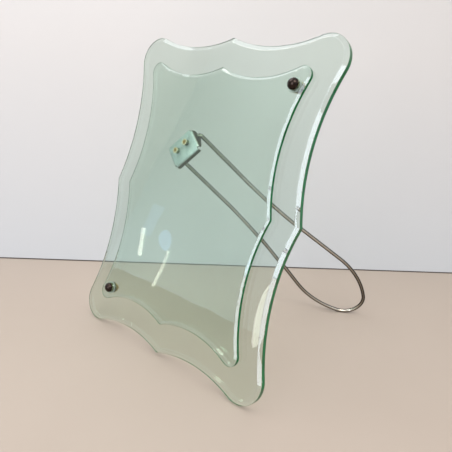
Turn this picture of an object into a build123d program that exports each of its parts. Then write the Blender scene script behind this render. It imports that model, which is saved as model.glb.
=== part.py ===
from build123d import *
import math
import os

# Glass photo frame: a small bevelled pane clamped over a larger one by two corner studs.
# A wire loop, hinged in a folded bracket on the back, props the panes up on a table.
# Lengths are millimetres and angles are degrees.
# The pane frame has its zero at the middle of the large pane's back face.
# In it X runs across, Y up the glass and Z out of the front.

# Large back pane
back_width = 239.4
back_height = 308.6
back_thickness = 6.0
back_lobe_radius = 21.4
back_side_dip = 3.6
back_end_dip = 1.9
back_side_sweep = 204.0
back_end_sweep = 126.0
back_bevel_width = 3.8
back_edge_flat = 4.7

# Small front pane
front_width = 187.8
front_height = 253.2
front_thickness = 4.0
front_lobe_radius = 8.4
front_side_dip = 3.1
front_end_dip = 3.2
front_side_sweep = 173.0
front_end_sweep = 95.0
front_bevel_width = 2.6
front_edge_flat = 3.1
pane_gap = 0.75

# Corner studs: insets are from the small pane's outermost lines
top_stud_side_inset = 13.9
top_stud_end_inset = 15.6
low_stud_side_inset = 11.9
low_stud_end_inset = 12.6
stud_diameter = 4.0
stud_tip_chamfer = 0.4
stud_rear_overhang = 0.8
stud_end_gap = 0.3
sleeve_diameter = 8.8
sleeve_hole_clearance = 0.2
sleeve_end_gap = 0.1
stud_mouth_bevel = 0.45
stud_mouth_depth = 0.9
cap_diameter = 10.0
cap_rise = 4.2
cap_rim = 0.8
cap_edge_round = 0.2
cap_bore_depth = 2.8
cap_lift = 0.05
cap_washer_diameter = 9.4
cap_washer_thickness = 0.3
spacer_diameter = 13.0
rear_washer_diameter = 11.0
rear_washer_thickness = 0.8
rear_nut_across_flats = 7.0
rear_nut_thickness = 3.2

# Folded sheet bracket, set on a diagonal of the back pane
bracket_across = -30.5
bracket_up = 45.2
bracket_turn = 45.0
bracket_width = 22.2
bracket_sheet = 1.2
bracket_bend_radius = 2.4
ear_root_inset = 2.0
ear_relief = 1.0
ear_round_radius = 4.4
ear_toe_radius = 1.5
flange_depth = 5.0
hinge_height = 5.6
hinge_inset = 8.43

# Bracket screws through the back pane
screw_diameter = 2.5
screw_spacing = 13.2
screw_inset = 9.5
screw_head_diameter = 3.6
screw_head_depth = 1.0
screw_slot_width = 0.5
screw_slot_depth = 0.5
screw_tip_overhang = 0.5
bush_diameter = 5.0
bush_flange_diameter = 6.0
bush_flange_thickness = 0.5
bush_hole_clearance = 0.1
nut_across_flats = 5.0
nut_thickness = 2.0
washer_diameter = 6.0
washer_thickness = 0.5

# Wire stand
lean = 17.5
stand_opening = 47.0
wire_diameter = 4.0
wire_bend_radius = 3.0
leg_half_spacing = 16.8
flare_radius = 636.0
flare_angle = 8.0
shoulder_radius = 95.0
shoulder_turn_in = 29.4
foot_radius = 21.3
ear_side_play = 0.3
pivot_tail = 5.0
pivot_head_diameter = 5.2
pivot_head_thickness = 0.9
toe_width = 3.6
toe_thickness = 2.0
toe_stop_gap = 0.1

# Clearance round a thread or a pivot, and the overrun of every cut
running_clearance = 0.05
cut_overrun = 2.0

# Places that follow from the sizes above
clamp_depth = back_thickness + pane_gap + front_thickness
hinge_line = hinge_inset - bracket_width / 2
screw_line = screw_inset - bracket_width / 2
ear_outer_face = leg_half_spacing + bracket_sheet / 2
ear_inner_face = ear_outer_face - bracket_sheet
bracket_length = 2 * (ear_outer_face - bracket_bend_radius)
upper_leg_line = ear_outer_face + ear_side_play + wire_bend_radius
loop_middle = upper_leg_line - leg_half_spacing
wire_radius = wire_diameter / 2
stud_places = (
    ("top_right", front_width / 2 - top_stud_side_inset, front_height / 2 - top_stud_end_inset),
    ("bottom_left", low_stud_side_inset - front_width / 2, low_stud_end_inset - front_height / 2),
)

diagonal = Vector(1, 0, 0).rotate(Axis.Z, bracket_turn)
bracket_place = Plane(
    origin=(bracket_across, bracket_up, 0),
    x_dir=diagonal,
    z_dir=(0, 0, -1),
).location
loop_place = bracket_place * Plane(
    origin=(loop_middle, hinge_line, hinge_height),
    x_dir=Vector(0, 1, 0).rotate(Axis.X, stand_opening),
    z_dir=Vector(0, 0, -1).rotate(Axis.X, stand_opening),
).location


def rod(diameter, low, high):
    """A round bar along Z from low to high."""
    return Pos(0, 0, low) * Cylinder(
        diameter / 2, high - low, align=(Align.CENTER, Align.CENTER, Align.MIN)
    )


def ring(outer_diameter, inner_diameter, height):
    """A flat ring standing on its seat."""
    return rod(outer_diameter, 0, height) - rod(inner_diameter, -cut_overrun, height + cut_overrun)


def hex_nut(across_flats, bore_diameter, height):
    """A hexagon nut standing on its seat, its corners rounded off by a turned cone."""
    hexagon = extrude(RegularPolygon(across_flats / 2, 6, major_radius=False), height)
    corner = across_flats / math.sqrt(3)
    corner_cut = corner - across_flats / 2
    turned = rod(2 * corner, 0, height)
    turned = chamfer(turned.edges().filter_by(GeomType.CIRCLE), corner_cut / 2)
    return (hexagon & turned) - rod(bore_diameter, -cut_overrun, height + cut_overrun)


def hollow_centre(tip, lobe_centre, lobe_radius, sweep, turn):
    """Centre of the hollow arc that starts at tip and runs smoothly into the corner lobe."""
    span = lobe_centre - tip
    reach = (sweep**2 - (sweep + lobe_radius) ** 2 + span.length**2) / (2 * span.length)
    rise = math.sqrt(sweep**2 - reach**2)
    along = span.normalized()
    return tip + along * reach + along.rotate(Axis.Z, turn) * rise


def arc_about(centre, start, end):
    """The three points of the shorter arc from start to end about centre."""
    radius = (start - centre).length
    middle = centre + ((start - centre) + (end - centre)).normalized() * radius
    return start, middle, end


def pane_outline(width, height, lobe_radius, side_dip, end_dip, side_sweep, end_sweep):
    """Four corner lobes joined by hollow arcs, two to each side, that meet in a point."""
    lobe_centre = Vector(width / 2 - lobe_radius, height / 2 - lobe_radius)
    end_tip = Vector(0, height / 2 - end_dip)
    side_tip = Vector(width / 2 - side_dip, 0)
    end_centre = hollow_centre(end_tip, lobe_centre, lobe_radius, end_sweep, 90)
    side_centre = hollow_centre(side_tip, lobe_centre, lobe_radius, side_sweep, -90)
    end_touch = lobe_centre + (end_centre - lobe_centre).normalized() * lobe_radius
    side_touch = lobe_centre + (side_centre - lobe_centre).normalized() * lobe_radius
    quarter = (
        arc_about(end_centre, end_tip, end_touch),
        arc_about(lobe_centre, end_touch, side_touch),
        arc_about(side_centre, side_touch, side_tip),
    )
    arcs = [
        ThreePointArc(*((point.X * across, point.Y * up) for point in arc))
        for across in (1, -1)
        for up in (1, -1)
        for arc in quarter
    ]
    return make_face(arcs)


def bevelled_pane(outline, thickness, bevel_width, edge_flat):
    """A pane with its back face at zero and a wide polished bevel round the front."""
    blank = extrude(outline, thickness)
    front_face = blank.faces().sort_by(Axis.Z)[-1]
    return chamfer(
        front_face.outer_wire().edges(),
        bevel_width,
        thickness - edge_flat,
        reference=front_face,
    )


def stud_holes(thickness):
    """Cutters for the two sleeve holes of a pane."""
    radius = sleeve_diameter / 2 + sleeve_hole_clearance
    return [
        Pos(across, up, thickness / 2) * Cylinder(radius, thickness + 2 * cut_overrun)
        for _, across, up in stud_places
    ]


def mouth_cone(hole_radius):
    """The bevel that breaks the front mouth of a sleeve hole, its wide end at zero."""
    return Cone(
        hole_radius,
        hole_radius + stud_mouth_bevel,
        stud_mouth_depth,
        align=(Align.CENTER, Align.CENTER, Align.MAX),
    )


def flared_sleeve(bore):
    """A sleeve through both panes, flared at the front to sit in the bevelled mouth."""
    length = clamp_depth - 2 * sleeve_end_gap
    flare = mouth_cone(sleeve_diameter / 2) & rod(2 * cap_diameter, -stud_mouth_depth, -sleeve_end_gap)
    body = ring(sleeve_diameter, bore, length) + Pos(0, 0, clamp_depth - sleeve_end_gap) * flare
    return body - rod(bore, -cut_overrun, clamp_depth + cut_overrun)


def screw_places():
    """The two bracket screws, in the bracket's own frame."""
    return [Pos(side * screw_spacing / 2, screw_line, 0) for side in (-1, 1)]


def back_pane():
    """Large pane, with two sleeve holes and two small holes for the bracket screws."""
    outline = pane_outline(
        back_width,
        back_height,
        back_lobe_radius,
        back_side_dip,
        back_end_dip,
        back_side_sweep,
        back_end_sweep,
    )
    pane = bevelled_pane(outline, back_thickness, back_bevel_width, back_edge_flat)
    pane -= stud_holes(back_thickness)
    hole_radius = bush_diameter / 2 + bush_hole_clearance
    for place in screw_places():
        pane -= bracket_place * place * Cylinder(hole_radius, 2 * (back_thickness + cut_overrun))
    return pane


def front_pane():
    """Small pane, held a little in front of the large one."""
    outline = pane_outline(
        front_width,
        front_height,
        front_lobe_radius,
        front_side_dip,
        front_end_dip,
        front_side_sweep,
        front_end_sweep,
    )
    pane = bevelled_pane(outline, front_thickness, front_bevel_width, front_edge_flat)
    pane -= stud_holes(front_thickness)
    hole_radius = sleeve_diameter / 2 + sleeve_hole_clearance
    for _, across, up in stud_places:
        pane -= Pos(across, up, front_thickness) * mouth_cone(hole_radius)
    return Pos(0, 0, back_thickness + pane_gap) * pane


def cap():
    """Domed screw cap with a blind threaded bore, standing on its rim."""
    dome_height = cap_rise - cap_rim
    dome_radius = ((cap_diameter / 2) ** 2 + dome_height**2) / (2 * dome_height)
    blank = rod(cap_diameter, 0, cap_rise) & (Pos(0, 0, cap_rise - dome_radius) * Sphere(dome_radius))
    rim_edge = blank.edges().filter_by(GeomType.CIRCLE).sort_by(Axis.Z)[0]
    blank = fillet(rim_edge, cap_edge_round)
    return blank - rod(stud_diameter + 2 * running_clearance, -cut_overrun, cap_bore_depth)


def stud():
    """Plain stud from inside the cap, through both panes, to just past the rear nut."""
    rear = rear_washer_thickness + rear_nut_thickness + stud_rear_overhang
    front = clamp_depth + cap_washer_thickness + cap_lift + cap_bore_depth - stud_end_gap
    bar = rod(stud_diameter, -rear, front)
    return chamfer(bar.edges().filter_by(GeomType.CIRCLE), stud_tip_chamfer)


def clamp_pieces():
    """Every fixed piece of one corner clamp, along its own axis, by node name."""
    bore = stud_diameter + 2 * running_clearance
    sleeve_bore = sleeve_diameter + 2 * sleeve_hole_clearance
    nut_seat = -rear_washer_thickness - rear_nut_thickness
    return {
        "clamp_studs": stud(),
        "clamp_sleeves": Pos(0, 0, sleeve_end_gap) * flared_sleeve(bore),
        "pane_spacers": Pos(0, 0, back_thickness) * ring(spacer_diameter, sleeve_bore, pane_gap),
        "cap_washers": Pos(0, 0, clamp_depth)
        * ring(cap_washer_diameter, bore, cap_washer_thickness),
        "clamp_rear_washers": Pos(0, 0, -rear_washer_thickness)
        * ring(rear_washer_diameter, bore, rear_washer_thickness),
        "clamp_rear_nuts": Pos(0, 0, nut_seat)
        * hex_nut(rear_nut_across_flats, bore, rear_nut_thickness),
    }


def ear_outline():
    """Side view of an ear: round about the hinge, falling away towards the flange."""
    root_start = ear_root_inset - bracket_width / 2
    root_end = bracket_width / 2 - ear_relief
    far_corner = (root_end - ear_toe_radius, flange_depth - ear_toe_radius)
    round_head = Pos(hinge_line, hinge_height) * Circle(ear_round_radius)
    round_toe = Pos(*far_corner) * Circle(ear_toe_radius)
    root = make_face(
        Polyline(
            (root_start, 0),
            (root_end, 0),
            (root_end, flange_depth - ear_toe_radius),
            (root_start, hinge_height),
            close=True,
        )
    )
    return make_hull((round_head + round_toe + root).edges())


def folded_edge(length, depth):
    """A strip along X that leaves a plate edge at Y zero, turns a bend and stands up to depth."""
    turn_centre = Pos(0, bracket_bend_radius)
    bend = Circle(bracket_bend_radius) - Circle(bracket_bend_radius - bracket_sheet)
    quarter = Rectangle(
        bracket_bend_radius, bracket_bend_radius, align=(Align.MIN, Align.MAX)
    )
    upright = Pos(bracket_bend_radius - bracket_sheet, bracket_bend_radius) * Rectangle(
        bracket_sheet, depth - bracket_bend_radius, align=(Align.MIN, Align.MIN)
    )
    section = turn_centre * (bend & quarter) + upright
    strip = extrude(section, length / 2, both=True)
    return Plane.YZ.location * strip


def hinge_bracket():
    """Plate screwed to the glass, two ears for the wire and a stiffening flange."""
    plate = Box(
        bracket_length, bracket_width, bracket_sheet, align=(Align.CENTER, Align.CENTER, Align.MIN)
    )
    flange = Pos(0, bracket_width / 2, 0) * folded_edge(bracket_length, flange_depth)
    ear_strip = folded_edge(bracket_width, hinge_height + ear_round_radius + cut_overrun)
    side_view = Plane.YZ * extrude(ear_outline(), ear_outer_face, both=True)
    pivot = Pos(0, hinge_line, hinge_height) * Rot(0, 90, 0) * Cylinder(
        wire_radius + running_clearance, 2 * (ear_outer_face + cut_overrun)
    )
    bracket = plate + flange
    for turn in (-90, 90):
        ear = Rot(0, 0, turn) * Pos(0, bracket_length / 2, 0) * ear_strip
        bracket += ear & side_view
    bracket -= pivot
    for place in screw_places():
        bracket -= place * Cylinder(screw_diameter / 2 + running_clearance, 2 * cut_overrun + bracket_sheet)
    return bracket


def screw():
    """Countersunk slotted screw, its head flush with the bush on the front of the glass."""
    head_face = -back_thickness - bush_flange_thickness
    tip = bracket_sheet + washer_thickness + nut_thickness + screw_tip_overhang
    shank = rod(screw_diameter, head_face, tip)
    head = Pos(0, 0, head_face) * Cone(
        screw_head_diameter / 2,
        screw_diameter / 2,
        screw_head_depth,
        align=(Align.CENTER, Align.CENTER, Align.MIN),
    )
    slot = Pos(0, 0, head_face) * Box(
        2 * screw_head_diameter, screw_slot_width, 2 * screw_slot_depth
    )
    return (shank + head) - slot


def bush():
    """Pale flanged bush that keeps the screw off the glass."""
    flange_face = -back_thickness - bush_flange_thickness
    body = rod(bush_diameter, flange_face, 0) + rod(bush_flange_diameter, flange_face, -back_thickness)
    seat = Pos(0, 0, flange_face) * Cone(
        screw_head_diameter / 2 + running_clearance,
        screw_diameter / 2 + running_clearance,
        screw_head_depth,
        align=(Align.CENTER, Align.CENTER, Align.MIN),
    )
    bore = rod(screw_diameter + 2 * running_clearance, flange_face - cut_overrun, cut_overrun)
    return body - seat - bore


def fixing_pieces():
    """Every piece of one bracket fixing, along its own axis, by node name."""
    bore = screw_diameter + 2 * running_clearance
    return {
        "bracket_screws": screw(),
        "screw_bushes": bush(),
        "screw_washers": Pos(0, 0, bracket_sheet) * ring(washer_diameter, bore, washer_thickness),
        "screw_nuts": Pos(0, 0, bracket_sheet + washer_thickness)
        * hex_nut(nut_across_flats, bore, nut_thickness),
    }


def foot_distance():
    """How far the foot's centre lies from the hinge for the foot to meet the table."""
    table_up = Vector(0, math.cos(math.radians(lean)), math.sin(math.radians(lean)))
    hinge = Vector(*loop_place.position)
    leg_way = loop_place.x_axis.direction
    side_way = loop_place.y_axis.direction
    fall = -leg_way.dot(table_up)
    foot_drop = foot_radius * math.hypot(fall, side_way.dot(table_up)) + wire_radius
    lobe_bottom = Vector(0, -back_height / 2, 0)
    return ((hinge - lobe_bottom).dot(table_up) - foot_drop) / fall


def half_loop():
    """One half of the loop's line, from the hinge end of a leg to the tip of the foot."""
    flare = math.radians(flare_angle)
    turn_in = math.radians(shoulder_turn_in)
    foot_centre = foot_distance()
    shoulder_centre = foot_centre - (shoulder_radius - foot_radius) * math.sin(turn_in)
    shoulder_side = -(shoulder_radius - foot_radius) * math.cos(turn_in)
    shoulder_start = (
        shoulder_centre - shoulder_radius * math.sin(flare),
        shoulder_side + shoulder_radius * math.cos(flare),
    )
    flare_end_side = leg_half_spacing + flare_radius * (1 - math.cos(flare))
    flare_run = (shoulder_start[1] - flare_end_side) / math.tan(flare)
    flare_end = (shoulder_start[0] - flare_run, flare_end_side)
    leg_end = (flare_end[0] - flare_radius * math.sin(flare), leg_half_spacing)
    shoulder_end = (
        foot_centre + foot_radius * math.sin(turn_in),
        foot_radius * math.cos(turn_in),
    )
    half_flare = flare / 2
    flare_middle = (
        leg_end[0] + flare_radius * math.sin(half_flare),
        leg_half_spacing + flare_radius * (1 - math.cos(half_flare)),
    )
    shoulder_middle = (shoulder_centre, shoulder_side + shoulder_radius)
    foot_middle_turn = (turn_in + math.radians(90)) / 2
    foot_middle = (
        foot_centre + foot_radius * math.sin(foot_middle_turn),
        foot_radius * math.cos(foot_middle_turn),
    )
    foot_tip = (foot_centre + foot_radius, 0)
    leg_start = (wire_bend_radius, leg_half_spacing)
    return (
        ("line", leg_start, leg_end),
        ("arc", leg_end, flare_middle, flare_end),
        ("line", flare_end, shoulder_start),
        ("arc", shoulder_start, shoulder_middle, shoulder_end),
        ("arc", shoulder_end, foot_middle, foot_tip),
    )


def wire_stand():
    """Bent wire loop: one leg hooks in from outside its ear, the other out from inside."""
    edges = []
    for side in (1, -1):
        for kind, *points in half_loop():
            mirrored = [(along, side * across) for along, across in points]
            edges.append(Line(*mirrored) if kind == "line" else ThreePointArc(*mirrored))
    inner_end = ear_inner_face - pivot_tail - loop_middle
    outer_end = -ear_outer_face - ear_side_play - pivot_head_thickness - loop_middle
    bend_share = 1 - math.sqrt(0.5)
    for side, pivot_end in ((1, inner_end), (-1, outer_end)):
        leg = side * leg_half_spacing
        pivot_start = leg - wire_bend_radius
        bend_middle = (wire_bend_radius * bend_share, leg - wire_bend_radius * bend_share)
        edges.append(ThreePointArc((wire_bend_radius, leg), bend_middle, (0, pivot_start)))
        edges.append(Line((0, pivot_start), (0, pivot_end)))
    line = Wire.combine([edge.edge() for edge in edges])[0]
    start = line @ 0
    loop = sweep(Plane(start, z_dir=line % 0) * Circle(wire_radius), path=line)
    head = Pos(0, outer_end, 0) * Rot(-90, 0, 0) * rod(pivot_head_diameter, 0, pivot_head_thickness)
    opening = math.radians(stand_opening)
    toe_reach = hinge_height - bracket_sheet - toe_stop_gap - toe_thickness / 2 * math.cos(opening)
    toe_length = toe_reach / math.sin(opening)
    toe = Pos(0, inner_end, 0) * Box(
        toe_length, toe_width, toe_thickness, align=(Align.MAX, Align.MIN, Align.CENTER)
    )
    return loop + head + toe


def all_nodes():
    """Every node of the frame, in the pane frame, by name."""
    nodes = {"back_pane": back_pane(), "front_pane": front_pane()}
    grouped = {}
    for name, across, up in stud_places:
        nodes["cap_" + name] = Pos(across, up, clamp_depth + cap_washer_thickness + cap_lift) * cap()
        for node, piece in clamp_pieces().items():
            grouped.setdefault(node, []).append(Pos(across, up, 0) * piece)
    for place in screw_places():
        for node, piece in fixing_pieces().items():
            grouped.setdefault(node, []).append(bracket_place * place * piece)
    for node, pieces in grouped.items():
        nodes[node] = Compound(pieces)
    nodes["hinge_bracket"] = bracket_place * hinge_bracket()
    nodes["wire_stand"] = loop_place * wire_stand()
    return nodes


def main():
    """Stand the frame on its table, zero at the bottom middle of its box, and write it."""
    standing = {name: Rot(90 - lean, 0, 0) * node for name, node in all_nodes().items()}
    box = Compound(list(standing.values())).bounding_box()
    to_origin = Pos(-box.center().X, -box.center().Y, -box.min.Z)
    os.makedirs("parts", exist_ok=True)
    for name, node in standing.items():
        export_step(to_origin * node, f"parts/{name}.step")
    print("size", box.size, "origin shift", to_origin.position)


main()
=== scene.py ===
"""Glass photo frame: two scalloped panes, two capped studs and a wire stand on a sheet bracket."""

import logging
import math
from collections.abc import Sequence
from dataclasses import dataclass
from enum import Enum
from typing import Any

import bmesh
import bpy
from bmesh.types import BMEdge, BMesh, BMVert
from bpy.types import Material, Node, NodeSocket, NodeTree, Object
from mathutils import Matrix, Vector, noise


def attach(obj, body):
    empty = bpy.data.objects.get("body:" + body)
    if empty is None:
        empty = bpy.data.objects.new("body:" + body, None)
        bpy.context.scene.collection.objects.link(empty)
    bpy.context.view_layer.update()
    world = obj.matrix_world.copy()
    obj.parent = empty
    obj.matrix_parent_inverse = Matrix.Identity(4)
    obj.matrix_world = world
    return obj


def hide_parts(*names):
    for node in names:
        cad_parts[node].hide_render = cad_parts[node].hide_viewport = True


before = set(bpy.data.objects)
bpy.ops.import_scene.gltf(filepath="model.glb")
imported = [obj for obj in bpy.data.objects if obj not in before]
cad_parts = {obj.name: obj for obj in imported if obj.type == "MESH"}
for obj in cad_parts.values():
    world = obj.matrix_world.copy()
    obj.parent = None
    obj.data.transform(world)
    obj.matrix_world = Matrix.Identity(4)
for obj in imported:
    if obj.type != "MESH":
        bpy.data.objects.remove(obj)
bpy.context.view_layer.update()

LOG = logging.getLogger("glass_frame")
MM = 0.001
# Attributes that tell the glass finish how a face was worked
GLASS_SHARES = ("bevel_share", "edge_share", "drilled_share", "arris_share")


class Body(Enum):
    """The moving bodies of the frame."""

    PANES = "root"
    STAND = "stand"
    TOP_CAP = "cap_top_right"
    LOW_CAP = "cap_bottom_left"


# Finishes


def linear(hex_code: str) -> tuple[float, float, float, float]:
    """Turn an sRGB hex colour into linear values.

    Args:
        hex_code: Six hex digits after a hash sign.

    Returns:
        Linear red, green and blue, and a full alpha.
    """
    parts = [int(hex_code[i : i + 2], 16) / 255 for i in (1, 3, 5)]
    red, green, blue = (p / 12.92 if p <= 0.04045 else ((p + 0.055) / 1.055) ** 2.4 for p in parts)
    return red, green, blue, 1.0


def add_node(tree: NodeTree, kind: str, inputs: dict | None = None, **settings: Any) -> Node:
    """Add one shader node with its settings, values and links.

    Args:
        tree: The node tree that gets the node.
        kind: The node's Blender type name.
        inputs: Socket name or number to a plain value, or to the output socket that feeds it.
        settings: Properties of the node itself.

    Returns:
        The new node.
    """
    node = tree.nodes.new(kind)
    for name, value in settings.items():
        setattr(node, name, value)
    for socket, value in (inputs or {}).items():
        if isinstance(value, NodeSocket):
            tree.links.new(value, node.inputs[socket])
        else:
            node.inputs[socket].default_value = value
    return node


def layered(tree: NodeTree, ground: Any, *layers: tuple[NodeSocket, Any]) -> NodeSocket:
    """Lay colours over a ground, one after another.

    Args:
        tree: The node tree that gets the mixing nodes.
        ground: Colour or socket of the ground.
        layers: For each layer, the socket of its share and its colour or socket.

    Returns:
        The socket of the mixed colour.
    """
    for share, tone in layers:
        ground = add_node(tree, "ShaderNodeMix", {0: share, 6: ground, 7: tone}, data_type="RGBA").outputs[2]
    return ground


@dataclass(frozen=True)
class Finish:
    """Shared make-up of every finish: one principled shader on object coordinates."""

    name: str = "finish"

    def material(self) -> Material:
        """Find the finish's material, or make it.

        Returns:
            The material that carries this finish.
        """
        found = bpy.data.materials.get(self.name)
        if found:
            return found
        made = bpy.data.materials.new(self.name)
        made.use_nodes = True
        made.node_tree.nodes.clear()
        self.paint(made.node_tree)
        return made

    def paint(self, tree: NodeTree) -> None:
        """Fill the node tree; each finish has its own way."""
        raise NotImplementedError

    def close(self, tree: NodeTree, surface: dict, volume: Node | None = None) -> None:
        """Add the principled shader and join it to the output.

        Args:
            tree: The material's node tree.
            surface: The shader's inputs.
            volume: The volume shader, if the finish has one.
        """
        inputs = {"Surface": add_node(tree, "ShaderNodeBsdfPrincipled", surface).outputs[0]}
        if volume:
            inputs["Volume"] = volume.outputs[0]
        add_node(tree, "ShaderNodeOutputMaterial", inputs)

    def spot(self, tree: NodeTree) -> NodeSocket:
        """Object coordinates, which all patterns of a finish read."""
        return add_node(tree, "ShaderNodeTexCoord").outputs["Object"]


@dataclass(frozen=True)
class PolishedGlass(Finish):
    """Soda-lime float glass, cut to outline, ground to a bevel and polished by hand.

    Clear straight through, dark green along the long way inside its edges, with a slight
    hand-ground wobble on the bevels and faint finger marks on the faces.
    """

    name: str = "float_glass_polished"
    refraction: float = 1.52
    face: str = "#fbfefc"
    # Green that the glass goes to in its depth, and how strongly in a metre
    depth_tint: str = "#3fa574"
    depth_density: float = 44.0
    # The edge shows the green of the whole pane's depth, darker and lighter in streaks 9 mm long
    edge_deep: str = "#004420"
    edge_light: str = "#0a7540"
    edge_length: float = 9 * MM
    edge_detail: float = 3.0
    edge_clearness: float = 0.05
    # Walls of drilled holes are left as ground: matt, olive and hardly clear
    drilled: str = "#4c5a2e"
    drilled_clearness: float = 0.05
    drilled_roughness: float = 0.5
    # Ground wobble is 14 mm long, 0.004 mm deep
    wobble_length: float = 14 * MM
    wobble_detail: float = 1.5
    wobble_depth: float = 0.004 * MM
    # The drawn sheet itself waves over 45 mm, drawn 0.1 mm deep so that it shows
    wave_length: float = 45 * MM
    wave_detail: float = 1.0
    wave_depth: float = 0.1 * MM
    # The line between bevel and face is ground, and scatters some of the light
    arris_clearness: float = 0.92
    # Finger marks about 35 mm across, where the noise is above its middle
    smudge_length: float = 35 * MM
    smudge_detail: float = 6.0
    smudge_range: tuple[float, float] = (0.55, 0.8)
    smudge_roughness: float = 0.012

    def paint(self, tree: NodeTree) -> None:
        """Build the glass shader and its green depth.

        Args:
            tree: The material's node tree.
        """
        spot = self.spot(tree)
        ground, edge, drilled, arris = (
            add_node(tree, "ShaderNodeAttribute", attribute_name=name).outputs["Fac"]
            for name in GLASS_SHARES
        )
        wave, wobble, smudge, streak = (
            add_node(tree, "ShaderNodeTexNoise", {"Vector": spot, "Scale": 1 / length, "Detail": detail}).outputs[0]
            for length, detail in (
                (self.wave_length, self.wave_detail),
                (self.wobble_length, self.wobble_detail),
                (self.smudge_length, self.smudge_detail),
                (self.edge_length, self.edge_detail),
            )
        )
        drawn = add_node(tree, "ShaderNodeBump", {"Height": wave, "Distance": self.wave_depth})
        height = add_node(tree, "ShaderNodeMath", {0: wobble, 1: ground}, operation="MULTIPLY").outputs[0]
        inputs = {"Height": height, "Distance": self.wobble_depth, "Normal": drawn.outputs[0]}
        relief = add_node(tree, "ShaderNodeBump", inputs)
        faint, full = self.smudge_range
        inputs = {"Value": smudge, "From Min": faint, "From Max": full, "To Max": self.smudge_roughness}
        marks = add_node(tree, "ShaderNodeMapRange", inputs)
        inputs = {"Value": drilled, "To Min": marks.outputs[0], "To Max": self.drilled_roughness}
        matt = add_node(tree, "ShaderNodeMapRange", inputs)
        green = layered(tree, linear(self.edge_deep), (streak, linear(self.edge_light)))
        colour = layered(tree, linear(self.face), (edge, green), (drilled, linear(self.drilled)))
        clear = 1.0
        for share, clearness in (
            (arris, self.arris_clearness),
            (edge, self.edge_clearness),
            (drilled, self.drilled_clearness),
        ):
            inputs = {"Value": share, "To Min": clear, "To Max": clearness}
            clear = add_node(tree, "ShaderNodeMapRange", inputs).outputs[0]
        inputs = {"Color": linear(self.depth_tint), "Density": self.depth_density}
        depth = add_node(tree, "ShaderNodeVolumeAbsorption", inputs)
        surface = {
            "Base Color": colour,
            "Transmission Weight": clear,
            "IOR": self.refraction,
            "Roughness": matt.outputs[0],
            "Normal": relief.outputs[0],
        }
        self.close(tree, surface, depth)


@dataclass(frozen=True)
class WorkedMetal(Finish):
    """A metal with a base colour, a stain that varies over it, and fine tool or handling marks."""

    name: str = "metal"
    bright: str = "#c0c0c0"
    stained: str = "#909090"
    roughness: float = 0.25
    roughness_spread: float = 0.12
    # The roughness goes through its whole spread over this middle part of the stain's noise
    roughness_range: tuple[float, float] = (0.3, 0.7)
    stain_length: float = 6 * MM
    stain_detail: float = 4.0
    mark_length: float = 0.6 * MM
    mark_detail: float = 3.0
    mark_depth: float = 0.004 * MM
    coat: float = 0.0
    coat_roughness: float = 0.08
    # Painted shade: colour of the faces that turn away from the sheet (folds, ears and cut sides), where the piece's
    # shade share is 1
    painted_turn_shade: str = ""
    # Painted shade: colour that it goes to where it turns away from the view, for the darker reflection along a round
    # bar's sides
    rim: str = ""
    rim_shade_range: tuple[float, float] = (0.06, 0.36)

    def paint(self, tree: NodeTree) -> None:
        """Build the metal shader.

        Args:
            tree: The material's node tree.
        """
        spot = self.spot(tree)
        stain, marks = (
            add_node(tree, "ShaderNodeTexNoise", {"Vector": spot, "Scale": 1 / length, "Detail": detail}).outputs[0]
            for length, detail in ((self.stain_length, self.stain_detail), (self.mark_length, self.mark_detail))
        )
        colour = layered(tree, linear(self.bright), (stain, linear(self.stained)))
        # Painted shade on the faces that turn away from the sheet
        if self.painted_turn_shade:
            share = add_node(tree, "ShaderNodeAttribute", attribute_name="painted_shade_share")
            colour = layered(tree, colour, (share.outputs["Fac"], linear(self.painted_turn_shade)))
        # Painted shade where the surface turns away from the view
        if self.rim:
            facing = add_node(tree, "ShaderNodeLayerWeight").outputs["Facing"]
            low, high = self.rim_shade_range
            turned_shade = add_node(tree, "ShaderNodeMapRange", {"Value": facing, "From Min": low, "From Max": high})
            colour = layered(tree, colour, (turned_shade.outputs[0], linear(self.rim)))
        low, high = self.roughness_range
        roughest = self.roughness + self.roughness_spread
        inputs = {"Value": stain, "From Min": low, "From Max": high, "To Min": self.roughness, "To Max": roughest}
        rough = add_node(tree, "ShaderNodeMapRange", inputs)
        relief = add_node(tree, "ShaderNodeBump", {"Height": marks, "Distance": self.mark_depth})
        surface = {
            "Base Color": colour,
            "Metallic": 1.0,
            "Roughness": rough.outputs[0],
            "Normal": relief.outputs[0],
            "Coat Weight": self.coat,
            "Coat Roughness": self.coat_roughness,
        }
        self.close(tree, surface)


@dataclass(frozen=True)
class MouldedPlastic(Finish):
    """A moulded or stamped non-metal with a soft mottle."""

    name: str = "plastic"
    base: str = "#dddddd"
    mottle: str = "#cccccc"
    roughness: float = 0.45
    transmission: float = 0.0
    refraction: float = 1.5
    mottle_length: float = 1.5 * MM
    mottle_detail: float = 4.0
    grain_depth: float = 0.01 * MM
    grain_strength: float = 0.6

    def paint(self, tree: NodeTree) -> None:
        """Build the plastic shader.

        Args:
            tree: The material's node tree.
        """
        inputs = {"Vector": self.spot(tree), "Scale": 1 / self.mottle_length, "Detail": self.mottle_detail}
        cloud = add_node(tree, "ShaderNodeTexNoise", inputs).outputs[0]
        inputs = {"Height": cloud, "Distance": self.grain_depth, "Strength": self.grain_strength}
        relief = add_node(tree, "ShaderNodeBump", inputs)
        surface = {
            "Base Color": layered(tree, linear(self.base), (cloud, linear(self.mottle))),
            "Roughness": self.roughness,
            "IOR": self.refraction,
            "Transmission Weight": self.transmission,
            "Normal": relief.outputs[0],
        }
        self.close(tree, surface)


GLASS = PolishedGlass()
# Brass darkened in a bath and lacquered: near black, brown where it catches light
BRONZED = WorkedMetal(
    name="brass_bronzed_lacquered", bright="#2b1606", stained="#0c0602", roughness=0.08, roughness_spread=0.05,
    stain_length=3 * MM, mark_length=0.5 * MM, mark_depth=0.001 * MM, coat=0.4,
)
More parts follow.
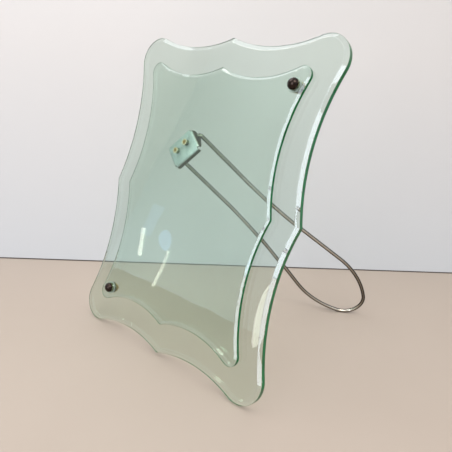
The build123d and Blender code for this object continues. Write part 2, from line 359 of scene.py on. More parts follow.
# Turned brass left bare: yellow, gone olive with age
BRASS = WorkedMetal(
    name="brass_turned", bright="#cdaa5e", stained="#917c47", roughness=0.22, roughness_spread=0.16,
    stain_length=2.5 * MM, mark_length=0.4 * MM,
)
# Sheet steel, folded and zinc plated: bright and slightly blue, clouded, with painted olive shade on the faces that
# turn away from the plate
PLATED = WorkedMetal(
    name="steel_zinc_plated", bright="#ffffff", stained="#c4d0d0", roughness=0.4, roughness_spread=0.2,
    stain_length=5 * MM, mark_length=0.5 * MM, mark_depth=0.003 * MM, painted_turn_shade="#57523f",
)
# Drawn wire under dull nickel: warm grey, with painted shade where it turns away from the view, its marks coarser
# than the real 0.05 mm
WIRE = WorkedMetal(
    name="steel_wire_nickel", bright="#d6cec2", stained="#aca294", roughness=0.13, roughness_spread=0.1,
    stain_length=9 * MM, mark_length=0.5 * MM, mark_depth=0.003 * MM, rim="#2b2620",
)
# Moulded nylon bushes: pale once, yellowed and dusty, with a dull sheen
NYLON = MouldedPlastic(name="nylon_moulded", base="#c2bf9e", mottle="#a9a47e", roughness=0.4)
# Washers stamped from vulcanised fibre: brown, dry and grainy
FIBRE = MouldedPlastic(
    name="fibre_vulcanised", base="#8f7a63", mottle="#6f5b47", roughness=0.7,
    mottle_length=0.5 * MM, grain_depth=0.02 * MM,
)
# Washers punched from clear vinyl sheet: nearly unseen between the panes
VINYL = MouldedPlastic(
    name="vinyl_clear", base="#eef4ef", mottle="#e2ebe4", roughness=0.25, transmission=0.85, refraction=1.53
)


# Bench: frames of reference and shared shaping


@dataclass(frozen=True)
class Stance:
    """Where the pane frame and the bracket frame stand in the row frame.

    The pane frame has its zero at the middle of the large pane's back face, X across,
    Y up the glass and Z out of the front. Lengths are millimetres.
    """

    lean: float = 17.5
    shift_back: float = -61.3076
    shift_up: float = 147.159
    bracket_across: float = -30.5
    bracket_up: float = 45.2
    bracket_turn: float = 45.0

    def panes(self) -> Matrix:
        """Stand the panes up.

        Returns:
            The pane frame in millimetres to the row frame in metres.
        """
        tilt = Matrix.Rotation(math.radians(90 - self.lean), 4, "X")
        shift = Matrix.Translation((0, self.shift_back * MM, self.shift_up * MM))
        return shift @ tilt @ Matrix.Scale(MM, 4)

    def bracket(self) -> Matrix:
        """Lay the bracket on the back of the large pane.

        Returns:
            The bracket's frame, with Z out of the back, to the row frame.
        """
        across = Matrix.Translation((self.bracket_across, self.bracket_up, 0))
        turned_shade = Matrix.Rotation(math.radians(self.bracket_turn), 4, "Z")
        return self.panes() @ across @ turned_shade @ Matrix.Rotation(math.pi, 4, "X")


STANCE = Stance()


@dataclass(frozen=True)
class Bench:
    """Turns finished shapes into pieces of the frame. Angles are degrees."""

    # Edges of a CAD copy past this angle count as hard, and faces within the other are one flat
    hard_angle: float = 32.0
    flat_angle: float = 0.6
    merge_reach: float = 0.001 * MM
    soft_steps: int = 2
    # A face takes the painted shade in full well before it stands square to its sheet
    shade_gain: float = 1.6

    def piece(
        self, work: BMesh, name: str, place: Matrix, finish: Finish, nodes: Sequence[str],
        body: Body = Body.PANES, crease: float = 28.0, recalculate: bool = True,
    ) -> Object:
        """Make a piece from a bmesh, put it on its body and report it.

        Args:
            work: The shape, in the local frame that place maps to the row frame.
            name: Name of the new object.
            place: Local frame in millimetres to the row frame in metres.
            finish: The finish that it carries.
            nodes: The CAD nodes that it stands for.
            body: The body that it rides on.
            crease: Angle in degrees past which an edge stays sharp.
            recalculate: Whether all faces are turned outwards first.

        Returns:
            The new object.
        """
        if recalculate:
            bmesh.ops.recalc_face_normals(work, faces=work.faces[:])
        work.transform(place)
        mesh = bpy.data.meshes.new(name)
        work.to_mesh(mesh)
        work.free()
        mesh.shade_smooth()
        mesh.set_sharp_from_angle(angle=math.radians(crease))
        mesh.materials.append(finish.material())
        made = bpy.data.objects.new(name, mesh)
        bpy.context.scene.collection.objects.link(made)
        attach(made, body.value)
        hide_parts(*nodes)
        LOG.info("%s: %d faces, in %s", name, len(mesh.polygons), finish.name)
        return made

    def soften(self, node: str, finish: Finish, offset: float, face: Vector | None = None) -> None:
        """Stand a copy of a CAD node in its place, with its hard edges taken off.

        Args:
            node: The CAD node's name.
            finish: The finish that it carries.
            offset: How much comes off each edge, in millimetres.
            face: Normal of its sheet; faces that turn away from it get painted shade.
        """
        work = bmesh.new()
        work.from_mesh(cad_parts[node].data)
        bmesh.ops.remove_doubles(work, verts=work.verts[:], dist=self.merge_reach)
        flat, hard = math.radians(self.flat_angle), math.radians(self.hard_angle)
        bmesh.ops.dissolve_limit(work, angle_limit=flat, verts=work.verts[:], edges=work.edges[:])
        rims = [e for e in work.edges if len(e.link_faces) == 2 and e.calc_face_angle() > hard]
        bmesh.ops.bevel(
            work, geom=rims, offset=offset * MM, segments=self.soft_steps, profile=0.5, affect="EDGES", material=-1,
            clamp_overlap=True,
        )
        # Faces that turn away from the sheet get a share of painted shade, which the finish reads
        if face:
            share = work.loops.layers.float.new("painted_shade_share")
            for side in work.faces:
                turned_shade = min(1.0, self.shade_gain * (1 - abs(side.normal.dot(face))))
                for corner in side.loops:
                    corner[share] = turned_shade
        self.piece(work, node + "_soft", Matrix.Identity(4), finish, [node], recalculate=False)


def close_poles(work: BMesh, reach: float = 0.01) -> None:
    """Merge the doubled points at seams and poles that lie within reach of each other."""
    bmesh.ops.remove_doubles(work, verts=work.verts[:], dist=reach)


def spin_chain(
    work: BMesh, points: Sequence[tuple[float, float]], steps: int, across: float = 0.0, up: float = 0.0
) -> None:
    """Turn a chain of points once round an upright axis.

    Args:
        work: The bmesh that gets the faces.
        points: Radius and height of each point.
        steps: Faces round the turn.
        across: Where the axis stands along X.
        up: Where it stands along Y.
    """
    start = [work.verts.new((across + radius, up, height)) for radius, height in points]
    edges = [work.edges.new(pair) for pair in zip(start, start[1:])]
    bmesh.ops.spin(
        work, geom=start + edges, cent=(across, up, 0), axis=(0, 0, 1), angle=2 * math.pi, steps=steps, use_merge=True
    )


def arc(
    centre: tuple[float, float], radius: float, start: float, end: float, steps: int
) -> list[tuple[float, float]]:
    """Points along an arc of a profile.

    Args:
        centre: The arc's centre.
        radius: Its radius.
        start: Angle of the first point in degrees from the first axis.
        end: Angle of the last point.
        steps: How many chords it has.

    Returns:
        The points, both ends included.
    """
    turn = [math.radians(start + (end - start) * i / steps) for i in range(steps + 1)]
    return [(centre[0] + radius * math.cos(a), centre[1] + radius * math.sin(a)) for a in turn]


# Panes


@dataclass
class Hole:
    """A drilled hole of a pane, with a ground arris at both mouths."""

    across: float
    up: float
    radius: float
    front_bevel: float = 0.3
    front_depth: float = 0.3


@dataclass
class ScallopedPane:
    """A pane with four corner lobes, hollow sides that meet in points, and a wide front bevel.

    Lengths are millimetres, angles degrees. The sides are the upright edges, the ends the top and bottom ones.
    """

    name: str
    node: str
    width: float
    height: float
    thickness: float
    lobe_radius: float
    side_dip: float
    end_dip: float
    side_sweep: float
    end_sweep: float
    bevel_width: float
    edge_flat: float
    seat: float
    holes: list[Hole]
    arris: float = 0.28
    # The bevel runs into the face over a soft ridge, whose middle lies this share of its round in and down
    bevel_round: float = 0.35
    ridge_in: float = 0.1
    ridge_down: float = 0.32
    # How far the ridge wanders, over what length, and the seed that makes it wander the same way each run
    bevel_waver: float = 0.22
    waver_seed: int = 7
    waver_length: float = 22.0
    waver_band: float = 0.6
    # Turns between neighbouring chords, and the fewest chords of an arc
    hollow_step: float = 1.0
    hollow_least: int = 12
    lobe_step: float = 3.0
    lobe_least: int = 16
    hole_steps: int = 48
    # How near points lie to a mirror seam, or to the height of a face, to count as on it
    seam_reach: float = 1e-3
    level_reach: float = 1e-4
    # A face steeper than the first of these counts as edge, one flatter than the second as face
    edge_level: float = 0.8
    flat_level: float = 0.9999
    hole_level: float = 0.9
    hole_margin: float = 1.0
    # The arris is what turns less than this share of the bevel's slope
    arris_turn: float = 0.9
    crease: float = 4.5

    def hollow_centre(self, tip: Vector, lobe: Vector, sweep: float, turn: float) -> Vector:
        """Centre of the hollow arc that starts at a tip and runs smoothly into the lobe.

        Args:
            tip: Point where the two hollows of a side meet.
            lobe: Centre of the corner lobe.
            sweep: Radius of the hollow.
            turn: Quarter turn, in degrees, towards the outside of the pane.

        Returns:
            The centre, outside the pane.
        """
        span = lobe - tip
        reach = (sweep**2 - (sweep + self.lobe_radius) ** 2 + span.length**2) / (2 * span.length)
        rise = math.sqrt(sweep**2 - reach**2)
        along = span.normalized()
        return tip + along * reach + (Matrix.Rotation(math.radians(turn), 3, "Z") @ along) * rise

    @property
    def slope(self) -> float:
        """Rise of the bevel for each millimetre of its width."""
        return (self.thickness - self.edge_flat) / self.bevel_width

    def section(self) -> list[tuple[float, float]]:
        """Lay out the worked edge.

        Returns:
            Inset and height of each of its corners, from the back face to the front.
        """
        soft, easy, slope = self.arris / 2, self.bevel_round, self.slope
        return [
            (self.arris, 0),
            (0, self.arris),
            (0, self.edge_flat - soft),
            (soft, self.edge_flat + soft * slope),
            (self.bevel_width - easy, self.thickness - easy * slope),
            (self.bevel_width - easy * self.ridge_in, self.thickness - easy * slope * self.ridge_down),
            (self.bevel_width + easy, self.thickness),
        ]

    def band(self, work: BMesh) -> None:
        """Sweep the worked edge round a quarter of the outline and mirror it to the others.

        Args:
            work: The bmesh that gets the band.
        """
        lobe = Vector((self.width / 2 - self.lobe_radius, self.height / 2 - self.lobe_radius, 0))
        end_tip = Vector((0, self.height / 2 - self.end_dip, 0))
        side_tip = Vector((self.width / 2 - self.side_dip, 0, 0))
        end_centre = self.hollow_centre(end_tip, lobe, self.end_sweep, 90)
        side_centre = self.hollow_centre(side_tip, lobe, self.side_sweep, -90)
        to_end = (end_centre - lobe).normalized()
        to_side = (side_centre - lobe).normalized()
        for way, centre, sweep, tip, side, across in (
            (to_end, end_centre, self.end_sweep, end_tip, 1, Vector((1, 0, 0))),
            (to_side, side_centre, self.side_sweep, side_tip, -1, Vector((0, 1, 0))),
        ):
            chain = self.chain(work, lobe, way)
            start = (lobe + way * self.lobe_radius) - centre
            angle = start.angle(tip - centre) + self.bevel_width / sweep
            steps = max(self.hollow_least, round(math.degrees(angle) / self.hollow_step))
            bmesh.ops.spin(work, geom=chain, cent=centre, axis=(0, 0, side), angle=-angle, steps=steps)
            cut = [*work.verts, *work.edges, *work.faces]
            bmesh.ops.bisect_plane(work, geom=cut, plane_co=(0, 0, 0), plane_no=-across, clear_outer=True)
        chain = self.chain(work, lobe, to_end)
        angle = to_end.angle(to_side)
        steps = max(self.lobe_least, round(math.degrees(angle) / self.lobe_step))
        bmesh.ops.spin(work, geom=chain, cent=lobe, axis=(0, 0, -1), angle=angle, steps=steps)
        close_poles(work)
        for axis in ("X", "Y"):
            whole = [*work.verts, *work.edges, *work.faces]
            bmesh.ops.mirror(work, geom=whole, merge_dist=self.seam_reach, axis=axis)
        close_poles(work)

    def chain(self, work: BMesh, lobe: Vector, way: Vector) -> list[BMVert | BMEdge]:
        """Lay the worked edge's section out from a lobe's centre.

        Args:
            work: The bmesh that gets the points.
            lobe: The lobe's centre.
            way: Direction from it, in the pane's plane.

        Returns:
            The section's points and edges.
        """
        spots = [lobe + way * (self.lobe_radius - inset) + Vector((0, 0, height)) for inset, height in self.section()]
        points = [work.verts.new(spot) for spot in spots]
        return points + [work.edges.new(pair) for pair in zip(points, points[1:])]

    def bore(self, work: BMesh, hole: Hole) -> None:
        """Turn the wall of one hole.

        Args:
            work: The bmesh that gets the wall.
            hole: The hole.
        """
        wall = [
            (hole.radius + self.arris, 0),
            (hole.radius, self.arris),
            (hole.radius, self.thickness - hole.front_depth),
            (hole.radius + hole.front_bevel, self.thickness),
        ]
        spin_chain(work, wall, self.hole_steps, hole.across, hole.up)

    def waver(self, work: BMesh) -> None:
        """Let the inner line of the bevel wander a little, as a hand-ground one does.

        Args:
            work: The bmesh that holds the band.
        """
        noise.seed_set(self.waver_seed)
        limit = self.thickness - self.bevel_round * self.waver_band
        for point in work.verts:
            if point.co.z > limit:
                drift = noise.noise_vector(point.co / self.waver_length) * self.bevel_waver
                point.co += Vector((drift.x, drift.y, 0))

    def build(self, bench: Bench) -> None:
        """Make the pane.

        Args:
            bench: The bench that takes the piece.
        """
        work = bmesh.new()
        self.band(work)
        self.waver(work)
        for hole in self.holes:
            self.bore(work, hole)
        for height, way in ((0, -1), (self.thickness, 1)):
            open_edges = [e for e in work.edges if e.is_boundary]
            rim = [e for e in open_edges if all(abs(v.co.z - height) < self.level_reach for v in e.verts)]
            bmesh.ops.triangle_fill(work, edges=rim, use_beauty=True, normal=(0, 0, way))
        bmesh.ops.recalc_face_normals(work, faces=work.faces[:])
        self.mark(work)
        place = STANCE.panes() @ Matrix.Translation((0, 0, self.seat))
        pane = bench.piece(work, self.name, place, GLASS, [self.node], crease=self.crease)
        # Clear glass hardly shades what stands behind it
        pane.visible_shadow = False

    def mark(self, work: BMesh) -> None:
        """Write on each face how it was worked, for the glass finish to read.

        Args:
            work: The bmesh that holds the closed pane.
        """
        bevel, edge, drilled, arris = (work.loops.layers.float.new(name) for name in GLASS_SHARES)
        steep = 1 - (1 - math.cos(math.atan(self.slope))) * self.arris_turn
        for face in work.faces:
            level = abs(face.normal.z)
            spot = face.calc_center_median()
            in_hole = any(
                (spot - Vector((hole.across, hole.up, spot.z))).length < hole.radius + self.hole_margin
                for hole in self.holes
            )
            for corner in face.loops:
                corner[bevel] = float(self.edge_level < level < self.flat_level)
                corner[arris] = float(steep < level < self.flat_level)
                corner[edge] = float(level < self.edge_level and not in_hole)
                corner[drilled] = float(level < self.hole_level and in_hole)


# Corner clamps


@dataclass
class CornerClamps:
    """The two studs with domed caps, and what they carry. Places are in the pane frame."""

    top: tuple[float, float] = (80.0, 111.0)
    low: tuple[float, float] = (-82.0, -114.0)
    cap_radius: float = 5.0
    cap_rise: float = 4.2
    cap_rim: float = 0.8
    cap_bore: float = 2.05
    cap_bore_depth: float = 2.8
    cap_seat: float = 11.1
    cap_round: float = 0.2
    cap_sides: int = 64
    dome_steps: int = 16
    round_steps: int = 4

    def cap_profile(self) -> list[tuple[float, float]]:
        """Lay out half a cap.

        Returns:
            Radius and height round it, from its bore to the top of its dome.
        """
        dome_height = self.cap_rise - self.cap_rim
        dome_radius = (self.cap_radius**2 + dome_height**2) / (2 * dome_height)
        centre = self.cap_rise - dome_radius
        low = math.degrees(math.asin((self.cap_rim - centre) / dome_radius))
        dome = arc((0, centre), dome_radius, low, 90, self.dome_steps)
        dome[-1] = (0.0, self.cap_rise)
        soft = self.cap_round
        return [
            (0.0, self.cap_bore_depth),
            (self.cap_bore, self.cap_bore_depth),
            (self.cap_bore, 0.0),
            *arc((self.cap_radius - soft, soft), soft, -90, 0, self.round_steps),
            *dome,
        ]

    def build(self, bench: Bench) -> None:
        """Make the caps and dress the pieces behind them.

        Args:
            bench: The bench that takes the pieces.
        """
        # A cap's CAD node and its body share their name
        for spot, body in ((self.top, Body.TOP_CAP), (self.low, Body.LOW_CAP)):
            work = bmesh.new()
            spin_chain(work, self.cap_profile(), self.cap_sides)
            close_poles(work)
            place = STANCE.panes() @ Matrix.Translation((*spot, self.cap_seat))
            bench.piece(work, body.value + "_domed", place, BRONZED, [body.value], body)
        for node, finish, slot, offset in (
            ("clamp_studs", BRASS, "brass", 0.15),
            ("clamp_sleeves", BRASS, "brass", 0.1),
            ("pane_spacers", VINYL, "clear_vinyl", 0.1),
            ("cap_washers", FIBRE, "fibre", 0.05),
            ("clamp_rear_washers", BRASS, "brass", 0.12),
            ("clamp_rear_nuts", BRASS, "brass", 0.2),
        ):
            bench.soften(node, finish, offset)


# Bracket and stand


@dataclass
class SheetBracket:
    """The folded bracket with its two screws, bushes, washers and nuts. Lengths are millimetres."""

    fold_softness: float = 0.16
    screw_softness: float = 0.12
    bush_softness: float = 0.08
    # The screws stand this far either side of a point that lies a little up the plate from its middle
    screw_middle: float = 1.6
    screw_reach: float = 6.6

    @property
    def screws(self) -> list[tuple[float, float]]:
        """Find the screws.

        Returns:
            Where the two stand in the pane frame.
        """
        middle, slant = self.screw_middle, math.sqrt(0.5)
        return [
            (STANCE.bracket_across + (reach - middle) * slant, STANCE.bracket_up + (reach + middle) * slant)
            for reach in (-self.screw_reach, self.screw_reach)
        ]

    def build(self, bench: Bench) -> None:
        """Make the bracket and its fixings.

        Args:
            bench: The bench that takes the pieces.
        """
        out = STANCE.bracket().to_3x3().col[2].normalized()
        # The plate's normal sets where the bracket's painted shade falls
        bench.soften("hinge_bracket", PLATED, self.fold_softness, out)
        bench.soften("bracket_screws", BRASS, self.screw_softness)
        bench.soften("screw_bushes", NYLON, self.bush_softness)
        bench.soften("screw_washers", PLATED, self.bush_softness)
        bench.soften("screw_nuts", PLATED, self.screw_softness)


@dataclass
class WireStand:
    """The teardrop loop: both legs flare, turn in over wide shoulders and meet at a round foot.

    Lengths are millimetres, angles degrees.
    """

    wire_radius: float = 2.0
    opening: float = 47.0
    hinge_side: float = 3.9
    hinge_line: float = -2.67
    hinge_height: float = 5.6
    leg: float = 16.8
    bend: float = 3.0
    flare_radius: float = 636.0
    flare: float = 8.0
    shoulder_radius: float = 95.0
    turn_in: float = 29.4
    foot_radius: float = 21.3
    foot_centre: float = 250.96
    inner_end: float = 7.3
    outer_end: float = -22.5
    head_radius: float = 2.6
    head_thickness: float = 0.9
    head_taper: float = 0.86
    toe: tuple[float, float, float] = (4.95, 3.6, 2.0)
    toe_round: float = 0.35
    toe_steps: int = 3
    sides: int = 24
    # Turn and length between neighbouring rings of a bend, and the fewest rings
    ring_turn: float = 2.5
    ring_length: float = 6.0
    ring_least: int = 6

    def frame(self) -> Matrix:
        """Hang the loop in the bracket.

        Returns:
            Its own frame, X along the legs and Y along the hinge, to the row frame.
        """
        seat = Matrix.Translation((self.hinge_side, self.hinge_line, self.hinge_height))
        tilt = math.radians(self.opening)
        legs = Vector((0, math.cos(tilt), math.sin(tilt)))
        hinge = Vector((1, 0, 0))
        axes = Matrix((legs, hinge, legs.cross(hinge))).transposed().to_4x4()
        return STANCE.bracket() @ seat @ axes

    def route(self) -> list[tuple[str, float, float]]:
        """The wire's runs and bends, from its inner pivot end round the foot to the outer one.

        Returns:
            For a run, its heading in degrees and its length; for a bend, its radius and turn.
        """
        flare, turn_in = math.radians(self.flare), math.radians(self.turn_in)
        inset = self.shoulder_radius - self.foot_radius
        start_along = self.foot_centre - inset * math.sin(turn_in) - self.shoulder_radius * math.sin(flare)
        start_side = self.shoulder_radius * math.cos(flare) - inset * math.cos(turn_in)
        flare_side = self.leg + self.flare_radius * (1 - math.cos(flare))
        flare_run = (start_side - flare_side) / math.sin(flare)
        leg_end = start_along - flare_run * math.cos(flare) - self.flare_radius * math.sin(flare)
        shoulder = ("bow", self.shoulder_radius, -(self.flare + self.turn_in))
        flared = ("bow", self.flare_radius, self.flare)
        return [
            ("run", 90.0, self.leg - self.bend - self.inner_end),
            ("bow", self.bend, -90.0),
            ("run", 0.0, leg_end - self.bend),
            flared,
            ("run", self.flare, flare_run),
            shoulder,
            ("bow", self.foot_radius, 2 * self.turn_in - 180),
            shoulder,
            ("run", 180 - self.flare, flare_run),
            flared,
            ("run", 180.0, leg_end - self.bend),
            ("bow", self.bend, 90.0),
            ("run", 270.0, -self.leg - self.bend - self.outer_end),
        ]

    def run(self, work: BMesh, ring: list[BMEdge], heading: float, length: float) -> list[BMEdge]:
        """Draw the wire straight on.

        Args:
            work: The bmesh that holds the wire.
            ring: The edges of its last ring.
            heading: Direction in the loop's plane, in degrees.
            length: How far it goes.

        Returns:
            The edges of the new last ring.
        """
        made = bmesh.ops.extrude_edge_only(work, edges=ring)["geom"]
        way = Vector((math.cos(math.radians(heading)), math.sin(math.radians(heading)), 0))
        points = [g for g in made if isinstance(g, BMVert)]
        bmesh.ops.translate(work, verts=points, vec=way * length)
        kept = set(points)
        return [g for g in made if isinstance(g, BMEdge) and all(v in kept for v in g.verts)]

    def bow(self, work: BMesh, ring: list[BMEdge], heading: float, radius: float, turn: float) -> list[BMEdge]:
        """Draw the wire round a bend.

        Args:
            work: The bmesh that holds the wire.
            ring: The edges of its last ring.
            heading: Direction before the bend, in degrees.
            radius: Radius of the bend's middle line.
            turn: How far it turns, in degrees, to the left above zero.

        Returns:
            The edges of the new last ring.
        """
        points = dict.fromkeys(v for e in ring for v in e.verts)
        middle = sum((v.co for v in points), Vector()) / len(points)
        side = math.radians(heading + math.copysign(90, turn))
        centre = middle + Vector((math.cos(side), math.sin(side), 0)) * radius
        axis, angle = (0, 0, math.copysign(1, turn)), math.radians(abs(turn))
        by_length = round(radius * angle / self.ring_length)
        steps = max(self.ring_least, round(abs(turn) / self.ring_turn), by_length)
        made = bmesh.ops.spin(work, geom=ring, cent=centre, axis=axis, angle=angle, steps=steps)["geom_last"]
        return [g for g in made if isinstance(g, BMEdge)]

    def build(self, bench: Bench) -> None:
        """Make the wire stand.

        Args:
            bench: The bench that takes the piece.
        """
        work = bmesh.new()
        upright = Matrix.Rotation(math.pi / 2, 4, "X")
        start = Matrix.Translation((0, self.inner_end, 0)) @ upright
        bmesh.ops.create_circle(work, cap_ends=True, segments=self.sides, radius=self.wire_radius, matrix=start)
        ring = work.edges[:]
        heading = 90.0
        for kind, first, second in self.route():
            if kind == "run":
                heading = first
                ring = self.run(work, ring, heading, second)
            else:
                ring = self.bow(work, ring, heading, first, second)
                heading += second
        bmesh.ops.contextual_create(work, geom=ring)
        head = Matrix.Translation((0, self.outer_end + self.head_thickness / 2, 0)) @ upright
        bmesh.ops.create_cone(
            work, cap_ends=True, segments=self.sides, radius1=self.head_radius,
            radius2=self.head_radius * self.head_taper, depth=self.head_thickness, matrix=head,
        )
        long, wide, thick = self.toe
        seat = Matrix.Translation((-long / 2, self.inner_end + wide / 2, 0))
        shape = Matrix.Diagonal((long, wide, thick, 1))
        box = bmesh.ops.create_cube(work, size=1.0, matrix=seat @ shape)["verts"]
        bmesh.ops.bevel(
            work, geom=list(dict.fromkeys(e for v in box for e in v.link_edges)), offset=self.toe_round,
            segments=self.toe_steps, profile=0.5, affect="EDGES", material=-1,
        )
        bench.piece(work, "wire_stand_loop", self.frame(), WIRE, ["wire_stand"], Body.STAND)


# Room, lights and camera


@dataclass(frozen=True)
class Lamp:
    """A soft lamp or window that faces the frame; it lights and is mirrored, but isn't seen itself."""

    name: str
    start: tuple[float, float, float]
    end: tuple[float, float, float]
    width: float
    glow: float
    tone: str
    outline: str = "RECTANGLE"
    # Whether it is also seen through a pane; one that stands in view behind the glass isn't
    through_glass: bool = True
    # Height on the frame that the lamp faces
    aim: float = 0.12

    def hang(self) -> None:
        """Hang the lamp, its long side from start to end.

        Its power gives every lamp of the same glow the same brightness, however large it is.
        """
        start, end = Vector(self.start), Vector(self.end)
        middle = (start + end) / 2
        length = (end - start).length
        light = bpy.data.lights.new(self.name, "AREA")
        light.shape = self.outline
        light.size, light.size_y = self.width, length
        light.energy = self.glow * math.pi * self.width * length
        light.color = linear(self.tone)[:3]
        made = bpy.data.objects.new(self.name, light)
        back = (middle - Vector((0, 0, self.aim))).normalized()
        along = (start - end).normalized()
        across = along.cross(back).normalized()
        axes = Matrix((across, back.cross(across), back)).transposed().to_4x4()
        made.matrix_world = Matrix.Translation(middle) @ axes
        made.visible_camera = False
        made.visible_transmission = self.through_glass
        bpy.context.scene.collection.objects.link(made)


@dataclass
class Studio:
    """A pale table against a pale wall, soft light and the photograph's camera. Lengths are metres."""

    wall_point: tuple[float, float] = (-0.27467, -0.05526)
    wall_way: tuple[float, float] = (0.73416, 0.67898)
    camera_spot: tuple[float, float, float] = (0.2821, -0.35577, 0.2532)
    camera_right: tuple[float, float, float] = (0.75711, 0.65120, 0.05190)
    camera_up: tuple[float, float, float] = (-0.23681, 0.19960, 0.95080)
    camera_back: tuple[float, float, float] = (0.60885, -0.73220, 0.30530)
    lens: float = 35.2
    sensor: float = 36.0
    nearest: float = 0.01
    reach: float = 3.0
    wall_height: float = 2.4
    gap_height: float = 0.0018
    # Height over which the wall's painted shade fades in towards the table
    painted_shade_height: float = 0.3
    cloud_scale: float = 4.0
    cloud_detail: float = 5.0
    # Strength of the room's light below and above these heights of the view's direction
    room_strength: tuple[float, float] = (1.2, 1.9)
    strength_rise: tuple[float, float] = (0.4, 0.7)
    # Colours of the room from left to right, low down and higher up, and where one goes over to the other
    low_band: tuple[tuple[float, str], ...] = (
        (0.06, "#8d9499"), (0.15, "#f4faff"), (0.62, "#dfe4e8"), (0.85, "#d2d6da"),
    )
    high_band: tuple[tuple[float, str], ...] = (
        (0.11, "#4d5154"), (0.21, "#eef3f6"), (0.62, "#dfe4e8"), (0.85, "#d2d6da"),
    )
    band_rise: tuple[float, float] = (0.05, 0.3)
    # Name, start, end, width, glow, colour
    lamps: tuple[Lamp, ...] = (
        Lamp("ceiling", (1.35, -0.5, 2.1), (1.15, -1.5, 1.9), 1.3, 7.0, "#fffaf5"),
        Lamp("side_window", (-0.65, -0.95, 1.5), (-1.05, -0.55, 1.4), 0.5, 4.6, "#fffaf2"),
        Lamp("front_window", (0.15, -1.4, 0.95), (0.15, -1.4, 0.05), 0.36, 7.4, "#eaf2ff", through_glass=False),
        Lamp("top_strip", (-0.29, -0.1, 0.78), (-0.17, 0.01, 0.42), 0.3, 3.5, "#f4f9ff", through_glass=False),
        Lamp("slat_left", (-1.817, -1.696, 0.32), (-1.787, -1.744, 0.151), 0.024, 3.0, "#fff6ea"),
        Lamp("slat_right", (-1.663, -1.821, 0.258), (-1.67, -1.844, 0.01), 0.018, 2.4, "#fff6ea"),
        Lamp("sky_spot", (-1.707, -1.774, 0.367), (-1.68, -1.81, 0.246), 0.08, 0.8, "#8fb8ff", "ELLIPSE"),
        Lamp("sky_streak", (-1.775, -1.692, 0.493), (-1.8, -1.715, 0.283), 0.07, 0.45, "#8fb8ff"),
        Lamp("sill", (-0.392, -0.945, 0.195), (-0.373, -0.976, 0.003), 0.036, 3.4, "#fffdf2", "ELLIPSE"),
    )

    def sheet(self, name: str, corners: Sequence[Vector], material: Material) -> None:
        """Make one flat stage sheet.

        Args:
            name: Name of the object.
            corners: Its four corners.
            material: Its material.
        """
        work = bmesh.new()
        bmesh.ops.contextual_create(work, geom=[work.verts.new(c) for c in corners])
        mesh = bpy.data.meshes.new(name)
        work.to_mesh(mesh)
        work.free()
        mesh.materials.append(material)
        made = bpy.data.objects.new(name, mesh)
        bpy.context.scene.collection.objects.link(made)

    def paper(
        self, name: str, tone: str, shade: str, rough: float, foot: str = "", painted_shade_height: float = 0.0
    ) -> Material:
        """Make the matt material of a stage sheet.

        Args:
            name: Name of the material.
            tone: Its main colour.
            shade: Its second colour, clouded in.
            rough: Its roughness.
            foot: Colour of the painted shade that it goes to towards the table; such a sheet lets the eye through
                from behind.
            painted_shade_height: Height over which it does so.

        Returns:
            The material.
        """
        made = bpy.data.materials.new(name)
        made.use_nodes = True
        tree = made.node_tree
        tree.nodes.clear()
        spot = add_node(tree, "ShaderNodeTexCoord").outputs["Object"]
        inputs = {"Vector": spot, "Scale": self.cloud_scale, "Detail": self.cloud_detail}
        cloud = add_node(tree, "ShaderNodeTexNoise", inputs)
        colour = layered(tree, linear(tone), (cloud.outputs[0], linear(shade)))
        # Painted shade: darker towards the table
        if foot:
            level = add_node(tree, "ShaderNodeSeparateXYZ", {0: spot}).outputs["Z"]
            low = add_node(tree, "ShaderNodeMapRange", {"Value": level, "From Max": painted_shade_height})
            colour = layered(tree, linear(foot), (low.outputs[0], colour))
        shader = add_node(tree, "ShaderNodeBsdfPrincipled", {"Base Color": colour, "Roughness": rough})
        if foot:
            side = add_node(tree, "ShaderNodeNewGeometry").outputs["Backfacing"]
            clear = add_node(tree, "ShaderNodeBsdfTransparent")
            shader = add_node(tree, "ShaderNodeMixShader", {0: side, 1: shader.outputs[0], 2: clear.outputs[0]})
        add_node(tree, "ShaderNodeOutputMaterial", {"Surface": shader.outputs[0]})
        return made

    def room(self) -> None:
        """Fill the rest of the room with soft light: dim at the left, where the panes look, and bright in front."""
        world = bpy.data.worlds.new("room")
        world.use_nodes = True
        tree = world.node_tree
        tree.nodes.clear()
        way = add_node(tree, "ShaderNodeTexCoord").outputs["Generated"]
        parts = add_node(tree, "ShaderNodeSeparateXYZ", {0: way})
        # The ramps read the direction from -1 at the left to 1 at the right as 0 to 1
        inputs = {"Value": parts.outputs["X"], "From Min": -1.0, "From Max": 1.0}
        across = add_node(tree, "ShaderNodeMapRange", inputs)
        start, end = self.band_rise
        inputs = {"Value": parts.outputs["Z"], "From Min": start, "From Max": end}
        level = add_node(tree, "ShaderNodeMapRange", inputs)
        bands = []
        for stops in (self.low_band, self.high_band):
            ramp = add_node(tree, "ShaderNodeValToRGB", {0: across.outputs[0]})
            steps = ramp.color_ramp.elements
            for _ in stops[2:]:
                steps.new(0.5)
            for step, (position, tone) in zip(steps, stops):
                step.position = position
                step.color = linear(tone)
            bands.append(ramp.outputs[0])
        tone = layered(tree, bands[0], (level.outputs[0], bands[1]))
        low, high = self.room_strength
        start, end = self.strength_rise
        inputs = {"Value": parts.outputs["Z"], "From Min": start, "From Max": end, "To Min": low, "To Max": high}
        glow = add_node(tree, "ShaderNodeMapRange", inputs)
        light = add_node(tree, "ShaderNodeBackground", {"Color": tone, "Strength": glow.outputs[0]})
        add_node(tree, "ShaderNodeOutputWorld", {"Surface": light.outputs[0]})
        bpy.context.scene.world = world

    def camera(self) -> None:
        """Set up the photograph's camera."""
        data = bpy.data.cameras.new("photo_camera")
        data.lens = self.lens
        data.sensor_width = self.sensor
        data.clip_start = self.nearest
        made = bpy.data.objects.new("photo_camera", data)
        axes = Matrix((self.camera_right, self.camera_up, self.camera_back)).transposed().to_4x4()
        made.matrix_world = Matrix.Translation(self.camera_spot) @ axes
        bpy.context.scene.collection.objects.link(made)
        bpy.context.scene.camera = made

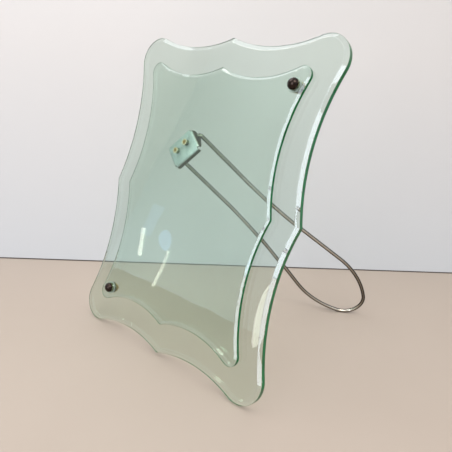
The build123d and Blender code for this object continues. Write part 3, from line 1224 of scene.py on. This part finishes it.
    def build(self) -> None:
        """Set the whole stage."""
        point, way = Vector((*self.wall_point, 0)), Vector((*self.wall_way, 0))
        left, right, up = point - way * self.reach, point + way * self.reach, Vector((0, 0, self.wall_height))
        # The wall paint carries painted shade towards the table
        paint = self.paper("wall_paint", "#c8c3c0", "#c2bebc", 0.9, "#babbbd", self.painted_shade_height)
        self.sheet("wall", [right, left, left + up, right + up], paint)
        # The dark joint between wall and table, on a strip just in front of the wall
        step = Vector((way.y, -way.x, 0)) * self.gap_height / 2
        rise = Vector((0, 0, self.gap_height))
        gap = [right + step, left + step, left + step + rise, right + step + rise]
        self.sheet("wall_gap", gap, self.paper("gap_shade", "#57504b", "#3f3935", 0.9, "#4a443f", self.gap_height))
        corners = [Vector((x * self.reach, y * self.reach, 0)) for x, y in ((-1, -1), (1, -1), (1, 1), (-1, 1))]
        self.sheet("table", corners, self.paper("table_laminate", "#aa9c90", "#a19386", 0.55))
        for lamp in self.lamps:
            lamp.hang()
        self.room()
        self.camera()
        settings = bpy.context.scene.view_settings
        settings.view_transform = "Standard"
        settings.look = "None"


def main() -> None:
    """Build the frame piece by piece, then the room round it."""
    logging.basicConfig(level=logging.INFO, format="%(name)s %(message)s")
    bench = Bench()
    Studio().build()
    clamps, bracket = CornerClamps(), SheetBracket()
    studs = (clamps.top, clamps.low)
    ScallopedPane(
        name="back_pane_glass", node="back_pane", width=239.4, height=308.6, thickness=6.0, lobe_radius=21.4,
        side_dip=3.6, end_dip=1.9, side_sweep=204.0, end_sweep=126.0, bevel_width=3.8, edge_flat=4.7, seat=0.0,
        holes=[*(Hole(x, y, radius=4.6) for x, y in studs), *(Hole(x, y, radius=2.6) for x, y in bracket.screws)],
    ).build(bench)
    ScallopedPane(
        name="front_pane_glass", node="front_pane", width=187.8, height=253.2, thickness=4.0, lobe_radius=8.4,
        side_dip=3.1, end_dip=3.2, side_sweep=173.0, end_sweep=95.0, bevel_width=2.6, edge_flat=3.1, seat=6.75,
        holes=[Hole(x, y, radius=4.6, front_bevel=0.45, front_depth=0.9) for x, y in studs],
    ).build(bench)
    clamps.build(bench)
    bracket.build(bench)
    WireStand().build(bench)


if __name__ == "__main__":
    main()
